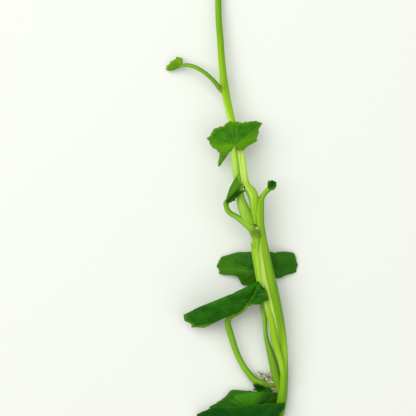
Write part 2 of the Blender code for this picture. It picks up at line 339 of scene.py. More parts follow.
# Middle lines that lie nearly on those of the plain solids, in millimetres, with the
# radius last
short_stem_route = [
    (14.8, -81.0, 1.5, 1.40), (15.9, -74.5, 2.3, 1.50), (16.8, -68.5, 3.0, 1.60),
    (17.3, -62.5, 3.9, 1.40), (17.4, -56.0, 5.0, 1.25), (16.9, -48.5, 5.7, 1.20),
    (15.6, -40.5, 6.8, 1.35), (14.1, -33.3, 7.5, 1.42), (12.7, -27.5, 7.9, 1.45),
    (10.9, -19.5, 8.1, 1.45), (9.7, -13.0, 8.1, 1.40), (9.4, -9.0, 8.1, 1.30),
    (9.6, -4.0, 8.0, 1.10), (9.9, -2.1, 8.1, 0.97), (10.7, -0.7, 8.2, 0.85),
    (11.6, 0.3, 8.3, 0.85), (12.4, 1.1, 8.4, 0.90),
]
long_stem_route = [
    (17.4, -66.5, 3.0, 0.70), (17.3, -62.0, 4.2, 1.00), (16.8, -58.5, 5.4, 1.10),
    (16.1, -55.5, 6.3, 1.15), (15.2, -52.6, 6.9, 1.25), (14.4, -49.3, 7.2, 1.40),
    (13.4, -43.3, 7.8, 1.50), (12.1, -38.0, 8.3, 1.60),
    (10.9, -33.3, 8.7, 1.65), (9.8, -29.0, 8.9, 1.70), (8.2, -19.7, 9.1, 1.75),
    (8.2, -16.4, 9.0, 1.50), (7.8, -13.5, 9.0, 1.45),
    (7.3, -10.5, 9.0, 1.35), (7.3, -7.0, 9.0, 1.15),
    (7.15, -3.9, 9.1, 1.38), (6.95, -1.4, 9.1, 1.72), (6.2, 0.2, 9.0, 1.72),
    (5.2, 1.5, 8.9, 1.48), (4.4, 3.2, 8.9, 1.27), (3.9, 5.7, 8.7, 1.30),
    (3.4, 9.0, 8.4, 1.34), (2.6, 14.0, 7.6, 1.26), (1.3, 19.3, 6.8, 1.22),
    (-0.3, 24.7, 6.1, 1.27), (-1.7, 31.0, 5.4, 1.35), (-2.5, 35.0, 5.0, 1.45),
    (-2.9, 38.5, 4.6, 1.30), (-3.4, 44.5, 4.0, 1.15), (-3.9, 51.5, 3.4, 1.10),
    (-4.4, 58.0, 2.9, 1.05), (-4.6, 64.5, 2.4, 1.00), (-4.8, 70.0, 2.0, 0.90),
    (-4.6, 74.5, 1.6, 0.75), (-4.2, 78.0, 1.3, 0.50),
]
# How light the green is, at even steps from a stem's foot to its end: partly the
# stem's own deeper and paler green and partly painted light, raised where a strand
# lies in shade and highest where a painted highlight runs along it
short_stem_light = [0.00, 0.00, 0.20, 0.70, 0.35, 0.20, 0.30, 0.30, 0.30, 0.27]
long_stem_light = [0.10, 0.55, 0.38, 0.48, 0.72, 0.60, 0.40, 0.50, 0.76, 1.10, 0.95,
                   0.80, 0.50, 0.42, 0.30, 0.20, 0.20, 0.20]
# A brown scar line below the upper fork, and a spot in the corner above it
fork_stains = [
    ((7.2 + 0.12 * k, -14.8 - 0.9 * k, 10.35 + 0.10 * k), 0.65, 0.5) for k in range(5)
] + [((3.9, 1.4, 9.9), 0.80, 0.8)]

short_stem = strand_sheet()
strand(short_stem, short_stem_route, short_stem_light,
       stains=[((15.6, -65.3, 3.6), 1.3, 0.5)], cut=True)
add_piece("short_stem_flesh", short_stem, stem_green, "stem", "short_stem")

long_stem = strand_sheet()
strand(long_stem, long_stem_route, long_stem_light,
       stains=fork_stains + [((-2.9, 35.0, 6.2), 1.6, 0.45)])
# The soft ridge where the two stems have grown together, side by side
strand(long_stem, [
    (9.0, -12.5, 8.6, 0.80), (9.8, -19.5, 8.4, 1.35), (11.4, -28.5, 8.1, 1.50),
    (12.6, -33.3, 7.8, 1.50), (14.0, -39.5, 7.4, 1.35), (15.2, -45.5, 6.7, 1.20),
    (16.0, -50.5, 6.1, 1.10), (16.7, -55.5, 5.4, 1.00), (17.2, -61.0, 4.3, 0.80),
    (17.2, -65.0, 3.5, 0.60),
], [0.50, 0.40, 0.22, 0.20, 0.25, 0.55, 0.15])
# The soft filling of the furrow between them, and a pale streak along the long one: its
# paler rib with a painted highlight along its upper left, where the light falls
strand(long_stem, [
    (9.1, -14.0, 9.2, 0.40), (9.05, -19.5, 9.82, 0.92), (9.75, -24.3, 9.74, 0.97),
    (10.45, -28.5, 9.66, 0.95), (11.65, -33.3, 9.36, 0.89), (13.2, -39.5, 8.83, 0.82),
    (14.65, -45.5, 7.97, 0.70), (15.7, -50.5, 7.1, 0.50),
], [0.80, 0.85, 1.00, 0.90, 0.40], sides=24)
strand(long_stem, [
    (8.8, -15.8, 9.9, 0.20), (9.1, -18.5, 10.25, 0.38), (9.5, -22.7, 10.35, 0.42),
    (10.1, -28.5, 10.27, 0.42), (10.5, -33.0, 9.95, 0.42), (11.1, -37.5, 9.35, 0.42),
    (12.2, -42.0, 8.78, 0.40), (13.0, -47.7, 7.88, 0.35), (14.0, -52.0, 7.3, 0.20),
], [0.65, 1.00, 1.10, 1.20, 0.95, 0.60], sides=20)
# The webs of soft tissue above the fork: between the long stem and the front stalk,
# and between the long stem and the end of the short one
strand(long_stem, [
    (4.0, 1.6, 9.1, 0.40), (3.45, 3.5, 9.2, 0.85), (2.95, 6.0, 9.1, 0.92),
    (2.5, 9.5, 8.95, 0.92), (1.9, 13.5, 8.4, 0.88), (1.2, 16.5, 7.4, 0.60),
], [0.95, 1.35, 1.40])
strand(long_stem, [
    (8.75, -1.8, 8.8, 0.40), (8.6, -4.0, 9.05, 0.75), (8.4, -8.0, 9.1, 0.88),
    (8.5, -12.0, 9.0, 0.95), (8.9, -14.5, 8.7, 0.80),
], [0.50, 0.50])
# A pointed scale beside the lower fork
strand(long_stem, [(7.3, -19.6, 9.6, 0.30), (6.8, -18.6, 9.9, 0.42),
                   (6.45, -17.6, 10.0, 0.30), (6.2, -16.7, 10.0, 0.08)],
       [0.3, 0.5], stains=[((7.0, -18.0, 10.2), 0.5, 0.6)], sides=16, step=0.15)
add_piece("long_stem_flesh", long_stem, stem_green, "stem", "long_stem")


# The leaf stalks. Each is a slender juicy strand with a shallow channel on its upper
# side. Its foot widens and clasps the stem that it grew from, a little brown at the
# node, and its end spreads into the veins of the blade.
stalk_green = stem_finish(
    "leaf stalk", deep=(0.105, 0.270, 0.004), lime=(0.215, 0.430, 0.014),
    pale=(0.400, 0.640, 0.085), stain=(0.130, 0.150, 0.014),
)
# Their light values, as the stems', are partly own tone and partly painted light
stalks = {
    "upper_leaf_stalk": dict(
        route=[
            (-2.9, 33.6, 5.3, 0.95), (-3.9, 34.5, 5.4, 0.95), (-4.8, 35.5, 5.3, 0.80),
            (-5.6, 36.5, 5.3, 0.72), (-7.0, 38.0, 5.4, 0.68),
            (-9.5, 40.1, 5.3, 0.67), (-12.1, 41.6, 4.8, 0.68), (-14.2, 42.3, 4.3, 0.66),
            (-15.7, 42.4, 3.9, 0.60), (-16.9, 42.3, 3.8, 0.45),
        ],
        light=[0.25, 0.15, 0.20, 0.25, 0.20],
        stains=[((-3.9, 35.0, 6.2), 1.2, 0.7)],
    ),
    "front_leaf_stalk": dict(
        route=[
            (7.3, -14.5, 9.0, 1.10), (6.5, -11.8, 9.2, 1.45), (5.6, -9.6, 9.4, 1.75),
            (4.6, -7.4, 9.5, 1.85), (3.7, -5.2, 9.7, 1.78), (3.0, -3.2, 9.8, 1.55),
            (2.6, -0.8, 9.8, 1.27), (2.0, 2.5, 9.9, 1.22), (1.45, 5.5, 9.9, 1.22),
            (1.0, 9.2, 9.8, 1.22), (0.6, 12.2, 9.8, 1.05), (0.5, 14.2, 10.5, 0.75),
            (0.7, 15.4, 11.4, 0.40),
        ],
        light=[0.40, 0.60, 0.70, 0.75, 1.00, 1.10],
        stains=[((7.5, -13.6, 11.0), 1.2, 0.5)],
    ),
    "folded_leaf_stalk": dict(
        route=[
            (8.3, -20.0, 8.4, 1.10), (8.3, -16.6, 8.9, 1.35), (7.9, -13.8, 9.5, 1.50),
            (6.8, -12.3, 9.9, 1.52),
            (5.3, -11.0, 9.7, 1.30), (3.5, -9.7, 9.3, 1.05), (1.4, -8.2, 9.1, 0.90),
            (-0.1, -7.4, 9.3, 0.86), (-1.4, -6.2, 9.7, 0.88), (-2.0, -4.7, 10.2, 0.82),
            (-2.3, -3.6, 10.8, 0.65), (-2.0, -2.7, 11.4, 0.35),
        ],
        light=[0.40, 0.30, 0.25, 0.45, 0.45, 0.40, 0.35, 0.25],
        stains=[((7.6, -13.3, 10.9), 2.1, 0.60), ((8.6, -13.6, 10.8), 0.55, 0.9)],
    ),
    "rear_leaf_stalk": dict(
        route=[
            (16.2, -66.5, 3.2, 1.15), (15.4, -64.5, 3.4, 1.30),
            (14.7, -61.5, 3.6, 1.45), (14.1, -58.3, 3.8, 1.48), (13.4, -55.6, 4.0, 1.35),
            (12.5, -52.4, 4.1, 1.10), (11.5, -49.0, 4.2, 0.75), (11.05, -45.5, 4.2, 0.70),
            (10.9, -42.0, 4.2, 0.85), (10.4, -38.5, 4.3, 0.90), (9.2, -28.4, 4.2, 0.70),
            (9.0, -26.4, 4.2, 0.45),
        ],
        light=[0.15, 0.15, 0.22, 0.60, 0.45, 0.30],
        stains=[((14.6, -64.4, 3.9), 1.4, 0.5)],
    ),
    "large_leaf_stalk": dict(
        route=[
            (16.6, -65.2, 3.3, 0.90), (15.0, -64.7, 3.3, 1.05),
            (12.7, -64.3, 3.1, 1.10), (10.0, -63.8, 2.9, 1.12),
            (7.4, -62.7, 2.8, 1.15), (5.5, -60.5, 3.2, 1.05),
            (3.7, -58.0, 3.5, 0.98), (1.5, -53.5, 3.8, 0.98), (-0.3, -48.0, 4.1, 1.06),
            (-1.4, -44.0, 4.7, 1.05), (-1.1, -42.4, 5.3, 0.92), (0.2, -41.3, 6.0, 0.72),
            (1.9, -40.5, 6.5, 0.63), (3.4, -39.5, 7.1, 0.61), (4.5, -38.3, 8.2, 0.60),
            (4.75, -37.4, 9.3, 0.55), (4.65, -37.0, 9.7, 0.55),
        ],
        light=[0.10, 0.20, 0.35, 0.40, 0.38, 0.35, 0.30, 0.45, 0.35],
        stains=[((14.4, -65.0, 4.3), 1.7, 0.9), ((11.6, -64.4, 4.0), 2.2, 0.62),
                ((4.6, -37.0, 10.2), 0.60, 1.0)],
    ),
    "low_front_leaf_stalk": dict(
        route=[
            (15.6, -76.1, 2.2, 0.85), (14.6, -76.4, 2.0, 0.85),
            (13.3, -77.6, 1.9, 0.80), (12.0, -80.0, 2.0, 0.80), (9.9, -81.7, 2.6, 0.75),
            (8.3, -81.2, 3.5, 0.60), (7.7, -79.4, 4.6, 0.40),
        ],
        light=[0.30, 0.30, 0.30],
        stains=[((15.0, -76.2, 2.8), 1.0, 0.7)],
    ),
    "low_rear_leaf_stalk": dict(
        route=[
            (16.2, -72.8, 2.6, 0.75), (14.3, -73.4, 2.3, 0.70), (11.5, -74.2, 2.1, 0.65),
            (7.9, -74.0, 2.4, 0.50), (6.5, -73.3, 2.8, 0.35),
        ],
        light=[0.30, 0.30, 0.30],
        stains=[((15.2, -73.1, 3.0), 0.9, 0.7)],
    ),
    "tip_left_leaf_stalk": dict(
        route=[
            (-4.9, 68.2, 2.1, 0.50), (-5.7, 69.0, 2.1, 0.50),
            (-6.5, 69.8, 2.0, 0.45), (-7.9, 71.5, 1.9, 0.45), (-9.1, 72.9, 1.8, 0.40),
            (-10.0, 74.0, 1.7, 0.25),
        ],
        light=[0.20, 0.20, 0.20],
        stains=[((-5.4, 68.9, 2.6), 0.6, 0.5)],
    ),
    "tip_right_leaf_stalk": dict(
        route=[
            (-4.6, 72.0, 1.7, 0.45), (-3.9, 72.7, 1.7, 0.42),
            (-3.1, 73.4, 1.6, 0.40), (-1.7, 74.7, 1.5, 0.40), (-0.3, 75.7, 1.4, 0.35),
            (0.7, 76.5, 1.3, 0.20),
        ],
        light=[0.20, 0.20, 0.20],
        stains=[((-4.1, 72.6, 2.1), 0.5, 0.5)],
    ),
}
for node, stalk in stalks.items():
    flesh = strand_sheet()
    strand(flesh, sides=32, ribs=4, ridge=0.03, channel=0.16, **stalk)
    add_piece(node + "_flesh", flesh, stalk_green, "stalk", node)


# The blades. Each is one thin toothed sheet that its main veins hold up: they spread
# from the end of the stalk, fork on their way out, lie a little sunk in the upper
# side and stand out below, with the green between them gently raised.
blade_thickness = 0.28
blade_column_width = 0.26
blade_rows = 46
# A blade starts this share of a vein's length out from its foot
blade_foot_share = 0.03
# How deep a vein lies, and how wide its groove and that of a side vein are
groove_depth = 0.10
groove_half_width = 0.30
side_groove_half_width = 0.22
# How far from a vein the green between the veins rises
rise_half_width = 1.1
# Each pair of side veins: where it leaves the main vein, how far it spreads and how
# strongly it shows
vein_forks = ((0.30, 0.36, 0.6), (0.58, 0.19, 0.45))
brown_mark = (0.090, 0.060, 0.012)
plain_nodes = [part["node"] for part in frame["record"]["subparts"]]


def leaf_finish(name, body, shade, fresh, vein, rim, pale):
    """A satin blade: body and shade in patches, fresh near its margin, with veins."""
    material, shader, tone = bare_material(name, 0.08, 0.08, (0.5, 1.0, 0.1))
    spot = tone.node("ShaderNodeTexCoord", output="Object")
    place = tone.attribute("place")
    out = tone.attribute("out")
    span = tone.attribute("span")
    strength = tone.attribute("vein")
    wander = (spot.cloud(420.0, 1.0) - 0.5) * 0.16
    off = abs(place - tone.sum("ROUND", place))
    veins = (off * span).fade(0.30 - out * 0.20, 0.02) * strength
    for start, spread, shows in vein_forks:
        gone = (out - start).most(0.0)
        line = abs(off + wander * gone - gone * (spread / (1 - start))) * span
        veins = veins.most(line.fade(0.15, 0.02) * gone.fade(0.0, 0.08) * strength * shows)
    cells = {"Vector": spot, "Scale": 780.0}
    net = tone.node("ShaderNodeTexVoronoi", {"feature": "DISTANCE_TO_EDGE"}, cells)
    net = net.fade(0.10, 0.02) * 0.14 * (off * span).fade(0.2, 1.0)
    patches = spot.cloud(300.0, 4.0)
    grains = spot.cloud(1700.0, 3.0)
    colour = patches.fade(0.34, 0.66).cover(shade, body)
    margin = (tone.attribute("edge") + (patches - 0.5) * 1.5).fade(1.9, 0.2)
    colour = (margin * 0.6).cover(colour, fresh)
    # Paler where the tint is above zero: partly the blade's own paler green and underside,
    # partly painted light
    pale_and_painted_light = (tone.attribute("tint") + (patches - 0.5) * 0.3).fade(0.05, 0.95)
    colour = pale_and_painted_light.cover(colour, pale)
    # Painted shade: where the tint is below zero the blade darkens towards a deep green
    darker = (0 - tone.attribute("tint") + (patches - 0.5) * 0.3).fade(0.05, 0.95)
    colour = (darker * 0.8).cover(colour, [value * 0.35 for value in shade])
    colour = (grains.fade(0.42, 0.72) * 0.26).cover(colour, fresh)
    colour = (net + veins * 0.65).cover(colour, vein)
    # A thin paler rim on the margin: partly the blade's own pale edge, partly a painted
    # highlight along it
    colour = (tone.attribute("edge").fade(0.24, 0.05) * 0.7).cover(colour, rim)
    # Brown stains darken the blade; in the hollow of the cupped leaf the same mark is painted
    # shade
    stain_and_painted_shade = tone.attribute("stain") * (0.6 + grains * 0.8)
    colour = stain_and_painted_shade.fade(0.2, 0.9).cover(colour, brown_mark)
    height = grains * 0.25 - veins - net
    relief = {"Height": height, "Strength": 0.5, "Distance": 0.10 * MM}
    feed(shader, colour=colour, roughness=0.44 + grains * 0.16 - veins * 0.05,
         normal=tone.node("ShaderNodeBump", None, relief))
    return material


def rib(tip, over=None, rise=0.0, notch=0.06, vein=0.5, tint=0.0, band=0.0):
    """A main vein: its tip, where it bends over, the notch after it, how it shows.

    The blade is paler by tint there, partly its own paler green and partly painted light,
    or darker where that is below zero, which is painted shade: from band millimetres
    inside its margin on, or only nearer to it where band is below zero.
    """
    return {"tip": Vector(tip), "over": over, "rise": rise, "notch": notch, "vein": vein,
            "tint": tint, "band": band}


def blade(name, foot, ribs, material, slot, tooth=0.5, pitch=1.8, bulge=0.14,
          wave=0.15, stains=()):
    """A lobed blade: a fine sheet spread from its foot along its veins."""
    foot = Vector(foot)
    tips = [r["tip"] for r in ribs]
    veins = [r["vein"] for r in ribs]
    tints = [r["tint"] for r in ribs]
    bands = [r["band"] for r in ribs]
    bends = []
    for r in ribs:
        if r["over"] is None:
            bends.append((foot + r["tip"]) * 0.5 + Vector((0, 0, 2 * r["rise"])))
        else:
            bends.append(Vector(r["over"]) * 2 - (foot + r["tip"]) * 0.5)
    gaps = len(ribs) - 1
    widths = [(b - a).length for a, b in zip(tips, tips[1:])]
    places = []
    for gap, width in enumerate(widths):
        count = max(6, round(width / blade_column_width))
        places += [gap + k / count for k in range(count)]
    places.append(float(gaps))

    def at(place, t):
        bend = smooth_value(bends, place)
        return foot * (1 - t) ** 2 + bend * 2 * t * (1 - t) + smooth_value(tips, place) * t**2

    sheet = bmesh.new()
    bmesh.ops.create_grid(
        sheet, x_segments=len(places) - 1, y_segments=blade_rows, size=1.0
    )
    noted = ("place", "out", "span", "edge", "vein", "tint", "stain")
    layers = {note: sheet.verts.layers.float.new(note) for note in noted}
    raised = []
    for vertex in sheet.verts:
        place = places[round((1 - vertex.co.x) * 0.5 * (len(places) - 1))]
        out = blade_foot_share + (1 - blade_foot_share) * (vertex.co.y + 1) * 0.5
        gap = min(int(place + 1e-6), gaps - 1)
        between = place - gap
        notch = ribs[gap]["notch"] * math.sin(math.pi * between) ** 2
        turn = between * max(1, round(widths[gap] / pitch))
        lean = 1.4 if place < gaps / 2 else 1 / 1.4
        shape = math.sin(math.pi * (turn - math.floor(turn)) ** lean) ** 0.8
        depth = tooth * (0.65 + 0.35 * math.sin(7.9 * math.floor(turn) + 3.1 * gap))
        serration = depth * shape / (smooth_value(tips, place) - foot).length
        t = out * (1 - (notch + serration * out**4) * out)
        point = at(place, t)
        aside = at(place + 0.02, t) if place < gaps - 0.02 else at(place - 0.02, t)
        ahead = at(place, t + 0.02)
        off = abs(place - round(place))
        span = (aside - point).length / 0.02
        reach = (ahead - point).length / 0.02
        vertex[layers["place"]] = place
        vertex[layers["out"]] = t
        vertex[layers["span"]] = span
        vertex[layers["edge"]] = (1 - out) * reach
        vein = max(smooth_value(veins, place), 0.0)
        vertex[layers["vein"]] = vein
        band = smooth_value(bands, place)
        inside = (1 - out) * reach - abs(band)
        held = min(max((-inside if band < 0 else inside) + 0.5, 0), 1)
        vertex[layers["tint"]] = smooth_value(tints, place) * held
        vertex[layers["stain"]] = near(point, stains)
        shown = min(1.0, 1.6 * vein)
        sunk = math.exp(-((off * span / groove_half_width) ** 2))
        for start, spread, shows in vein_forks:
            if t > start:
                line = abs(off - (t - start) * spread / (1 - start)) * span
                side_groove = math.exp(-((line / side_groove_half_width) ** 2))
                sunk = max(sunk, shows * side_groove)
        groove = groove_depth * (sunk * shown) * min(1, 6 * t)
        hump = 1 - shown * math.exp(-((off * span / rise_half_width) ** 2))
        ruffle = wave * t**3 * math.sin(2.3 * place + 1.7 * foot.x)
        raised.append(bulge * hump * min(1.0, 2.5 * (1 - out)) - groove + ruffle)
        vertex.co = point
    sheet.normal_update()
    normals = [vertex.normal.copy() for vertex in sheet.verts]
    for vertex, normal, height in zip(sheet.verts, normals, raised):
        vertex.co -= normal * height
        vertex.co.z = max(vertex.co.z, blade_thickness / 2)
    nodes = [name] if name in plain_nodes else []
    piece = add_piece(name + "_flesh", sheet, material, slot, *nodes)
    solid = piece.modifiers.new("thickness", "SOLIDIFY")
    solid.thickness = blade_thickness * MM
    solid.offset = 0.0
    return piece


fresh_blade = leaf_finish(
    "fresh blade", body=(0.031, 0.180, 0.001), shade=(0.014, 0.118, 0.001),
    fresh=(0.095, 0.300, 0.001), vein=(0.135, 0.320, 0.010), rim=(0.140, 0.300, 0.002),
    pale=(0.105, 0.310, 0.001),
)
folded_blade = leaf_finish(
    "folded blade", body=(0.014, 0.105, 0.001), shade=(0.008, 0.075, 0.001),
    fresh=(0.040, 0.180, 0.003), vein=(0.100, 0.260, 0.020), rim=(0.070, 0.200, 0.004),
    pale=(0.072, 0.220, 0.010),
)
dark_blade = leaf_finish(
    "dark blade", body=(0.019, 0.138, 0.002), shade=(0.008, 0.088, 0.001),
    fresh=(0.028, 0.165, 0.001), vein=(0.105, 0.270, 0.012), rim=(0.100, 0.270, 0.004),
    pale=(0.095, 0.280, 0.003),
)
deep_blade = leaf_finish(
    "deep blade", body=(0.004, 0.070, 0.0005), shade=(0.002, 0.050, 0.0005),
    fresh=(0.008, 0.098, 0.001), vein=(0.022, 0.120, 0.003), rim=(0.040, 0.160, 0.003),
    pale=(0.028, 0.140, 0.001),
)
shaded_blade = leaf_finish(
    "shaded blade", body=(0.024, 0.135, 0.002), shade=(0.013, 0.095, 0.001),
    fresh=(0.040, 0.170, 0.003), vein=(0.055, 0.190, 0.006), rim=(0.045, 0.170, 0.004),
    pale=(0.065, 0.220, 0.003),
)
under_blade = leaf_finish(
    "under blade", body=(0.016, 0.110, 0.001), shade=(0.009, 0.076, 0.001),
    fresh=(0.026, 0.150, 0.001), vein=(0.080, 0.240, 0.008), rim=(0.050, 0.120, 0.004),
    pale=(0.042, 0.210, 0.001),
)
young_blade = leaf_finish(
    "young blade", body=(0.100, 0.275, 0.001), shade=(0.050, 0.200, 0.001),
    fresh=(0.150, 0.330, 0.001), vein=(0.190, 0.370, 0.010), rim=(0.180, 0.280, 0.003),
    pale=(0.180, 0.320, 0.002),
)

# The small yellow-green leaf on the long thin stalk
blade("upper_leaf_blade", (-16.5, 42.3, 3.8), [
    rib((-18.7, 41.3, 2.6), tint=-0.5),
    rib((-20.9, 40.6, 1.2), rise=0.3, tint=-0.3),
    rib((-22.2, 41.1, 0.4), rise=0.4),
    rib((-22.0, 42.4, 0.6), rise=0.4, notch=0.1, vein=0.6, tint=0.1),
    rib((-20.5, 43.8, 1.2), rise=0.4, notch=0.10, tint=0.3),
    rib((-18.4, 45.4, 2.2), rise=0.3, tint=0.6),
    rib((-16.5, 44.8, 3.0)),
], young_blade, "young_blade", tooth=0.35, pitch=1.2, bulge=0.08, wave=0.08,
    stains=[((-18.3, 45.3, 2.3), 0.8, 0.7)])

# The bright leaf held flat above the long stem, with a long lower left lobe
blade("front_leaf_blade", (0.7, 15.4, 11.8), [
    rib((-3.5, 10.6, 5.6), over=(-2.0, 13.2, 9.6), vein=0.2, tint=-0.3),
    rib((-4.7, 8.4, 4.8), rise=1.0, notch=0.26, vein=0.6, tint=0.5),
    rib((-7.4, 15.8, 5.8), rise=0.9, vein=0.6, tint=0.7),
    rib((-8.3, 17.9, 6.2), rise=0.9, vein=0.8, tint=0.2),
    rib((-6.0, 21.1, 7.2), rise=0.8, vein=0.6, tint=-0.2),
    rib((-0.8, 23.6, 8.6), rise=0.6, vein=0.6, tint=-0.2),
    rib((1.9, 23.4, 8.8), rise=0.6, notch=0.03, vein=1.0, tint=0.1),
    rib((4.6, 23.5, 8.7), rise=0.6, notch=0.01, vein=0.3, tint=-0.2),
    rib((8.0, 23.6, 7.8), rise=0.8, notch=0.01, vein=0.3, tint=0.1),
    rib((10.1, 22.8, 7.0), rise=0.9, notch=0.1, vein=0.9, tint=0.4),
    rib((9.1, 19.8, 6.8), rise=0.9, vein=0.5, tint=0.9),
    rib((8.3, 17.0, 7.4), rise=0.8, notch=0.18, vein=0.8, tint=0.7),
    rib((4.0, 13.9, 9.7), rise=0.5, vein=0.3, tint=0.7),
    rib((1.9, 14.1, 10.9), rise=0.2, vein=0.2, tint=0.3),
], fresh_blade, "bright_blade", tooth=0.5, pitch=1.7, bulge=0.22,
    stains=[((9.2, 19.6, 6.8), 0.5, 0.6), ((-8.2, 17.4, 6.2), 0.5, 0.5),
            # The wide third mark only dulls the lower left lobe towards brown
            ((-3.0, 11.8, 8.6), 2.4, 0.48)])

# The small leaf folded along its middle, its pale underside turned up on the left and
# its darker upper side on the right deepened by painted shade inside the fold
blade("folded_leaf_blade", (-2.1, -2.8, 11.4), [
    rib((2.1, 6.0, 14.5), over=(-0.5, 1.9, 13.1), vein=0.1, tint=0.6),
    rib((2.6, 4.0, 14.8), notch=0.08, vein=0.4, tint=1.0),
    rib((3.4, 2.7, 13.9), notch=0.10, vein=0.2, tint=0.8),
    rib((2.8, 0.9, 12.3), vein=0.3, tint=-0.1),
    rib((4.5, 0.6, 13.2), notch=0.14, vein=0.3, tint=-0.9),
    rib((2.6, -1.3, 13.8), notch=0.14, vein=0.2, tint=-0.6),
    rib((1.0, -2.9, 13.6), notch=0.14, vein=0.2, tint=-0.8),
    rib((-1.1, -4.4, 12.7), vein=0.1, tint=-0.7),
], folded_blade, "bright_blade", tooth=0.9, pitch=1.1, bulge=0.08, wave=0.06,
    stains=[((3.4, 2.7, 13.9), 0.4, 0.7)])

# The dark leaf behind both stems, its two side tips on the surface
blade("rear_leaf_blade", (9.0, -26.6, 4.3), [
    rib((8.3, -32.0, 2.4), rise=0.1, tint=0.4),
    rib((3.5, -31.2, 1.4), rise=0.7, notch=0.03, tint=0.4),
    rib((1.2, -27.9, 2.2), rise=0.8, notch=0.02, tint=0.4),
    rib((-4.2, -27.4, 0.4), rise=1.0, tint=0.6),
    rib((-5.1, -24.8, 0.3), rise=1.0, notch=0.02, vein=0.6, tint=0.5),
    rib((-3.4, -21.8, 0.4), rise=1.0, notch=0.03, tint=0.2),
    rib((1.7, -20.1, 2.4), rise=0.8, notch=0.02),
    rib((6.7, -19.8, 3.8), rise=0.5, vein=0.6),
    rib((12.0, -19.8, 3.8), rise=0.5),
    rib((17.3, -19.8, 2.8), rise=0.8, notch=0.02),
    rib((20.8, -20.5, 1.2), rise=1.0, notch=0.02, vein=0.6),
    rib((22.1, -24.4, 0.4), rise=1.0, notch=0.03),
    rib((21.5, -26.9, 0.4), rise=1.0, notch=0.08),
    rib((16.5, -28.6, 1.4), rise=0.7),
    rib((13.4, -29.4, 2.0), rise=0.4),
], shaded_blade, "dark_blade", tooth=0.18, pitch=1.8)

# The largest leaf, folded back over a crest so that half of it lies beneath, with
# painted shade along the margin of its right end and under its lower right lobe
blade("large_leaf_blade", (4.8, -37.0, 9.9), [
    rib((3.2, -39.0, 8.6), vein=0.0),
    rib((1.2, -40.7, 8.0), rise=0.3, notch=0.04, vein=0.0),
    rib((-1.4, -41.3, 7.6), rise=0.6, notch=0.02, vein=0.0),
    rib((-4.8, -42.9, 6.5), rise=1.1, notch=0.0, vein=0.1, tint=0.7, band=-2.6),
    rib((-9.4, -45.4, 4.8), rise=1.6, notch=0.04, vein=0.3, tint=1.0, band=-4.6),
    rib((-13.4, -45.2, 3.6), rise=2.2, notch=0.05, vein=0.1, tint=0.8, band=-1.9),
    rib((-15.8, -43.0, 3.4), over=(-6.0, -40.2, 9.7), notch=0.0, vein=0.0, tint=0.4,
        band=-1.7),
    rib((-16.2, -41.0, 4.4), over=(-7.0, -38.7, 10.6), notch=0.02, vein=0.0, tint=0.5,
        band=-2.0),
    rib((-13.5, -40.8, 2.0), over=(-9.0, -38.1, 10.7), notch=0.03, vein=0.0, tint=0.3,
        band=-0.8),
    rib((-7.5, -39.5, 0.5), over=(-4.7, -36.0, 11.5), notch=0.05, vein=0.0),
    rib((0.0, -38.0, 0.4), over=(0.3, -33.7, 12.6), notch=0.06, vein=0.5),
    rib((4.5, -36.3, 0.4), over=(4.7, -31.7, 12.9), notch=0.06, vein=0.0),
    rib((7.0, -34.5, 2.5), over=(7.6, -30.4, 12.5), notch=0.0, vein=0.0),
    rib((8.6, -32.0, 8.5), over=(8.4, -30.3, 12.5), notch=0.0, vein=0.3),
    rib((8.2, -29.9, 12.1), over=(7.8, -34.0, 12.7), notch=0.0, vein=0.9, tint=0.3),
    rib((9.5, -30.7, 12.0), over=(8.0, -33.4, 12.7), notch=0.0, vein=0.0, tint=-0.8,
        band=-1.0),
    rib((10.8, -32.3, 11.8), over=(8.4, -33.1, 12.6), notch=0.03, vein=0.0, tint=-1.0,
        band=-1.3),
    rib((12.2, -34.9, 11.4), over=(8.9, -33.8, 12.3), notch=0.02, vein=1.0, tint=0.4),
    rib((12.1, -35.9, 11.3), over=(8.7, -35.3, 11.8), notch=0.10, vein=0.3, tint=-0.6,
        band=-1.8),
    rib((9.7, -37.0, 10.4), rise=0.8, vein=0.3, tint=0.6),
    rib((7.3, -37.3, 9.9), rise=0.3, vein=0.2, tint=0.7),
    rib((5.7, -38.1, 9.5), vein=0.0, tint=0.6),
], dark_blade, "dark_blade", tooth=0.5, pitch=1.8,
    stains=[((-10.6, -43.3, 5.6), 0.4, 0.9), ((-10.9, -44.3, 4.8), 0.45, 1.0),
            ((4.9, -37.1, 9.8), 0.5, 0.7)])

# The dark leaf at the foot of the shoot, bent over the cut end of the stem
blade("low_front_leaf_blade", (7.7, -79.6, 4.7), [
    rib((2.0, -82.5, 2.6), rise=0.3),
    rib((-5.7, -81.8, 1.2), rise=0.8, notch=0.10),
    rib((-11.3, -78.7, 0.4), rise=1.2),
    rib((-11.7, -74.6, 1.2), rise=1.2, notch=0.02, vein=0.7),
    rib((-6.2, -71.8, 4.5), rise=0.8, notch=0.02),
    rib((-0.8, -71.6, 6.3), rise=0.8, notch=0.02, vein=0.7),
    rib((5.8, -70.7, 7.2), rise=0.6, notch=0.02),
    rib((12.6, -70.2, 7.2), rise=0.6, notch=0.03, vein=0.7),
    rib((17.5, -70.1, 6.8), rise=0.8, notch=0.02, vein=0.2),
    rib((17.4, -72.1, 6.2), rise=0.7, notch=0.02, vein=1.0, tint=0.4, band=1.2),
    rib((15.9, -74.3, 5.6), rise=0.6, notch=0.04, vein=0.3),
    rib((14.3, -78.2, 4.8), rise=0.5),
    rib((12.2, -82.0, 4.4), rise=0.2),
], deep_blade, "dark_blade", tooth=0.2, pitch=2.6)
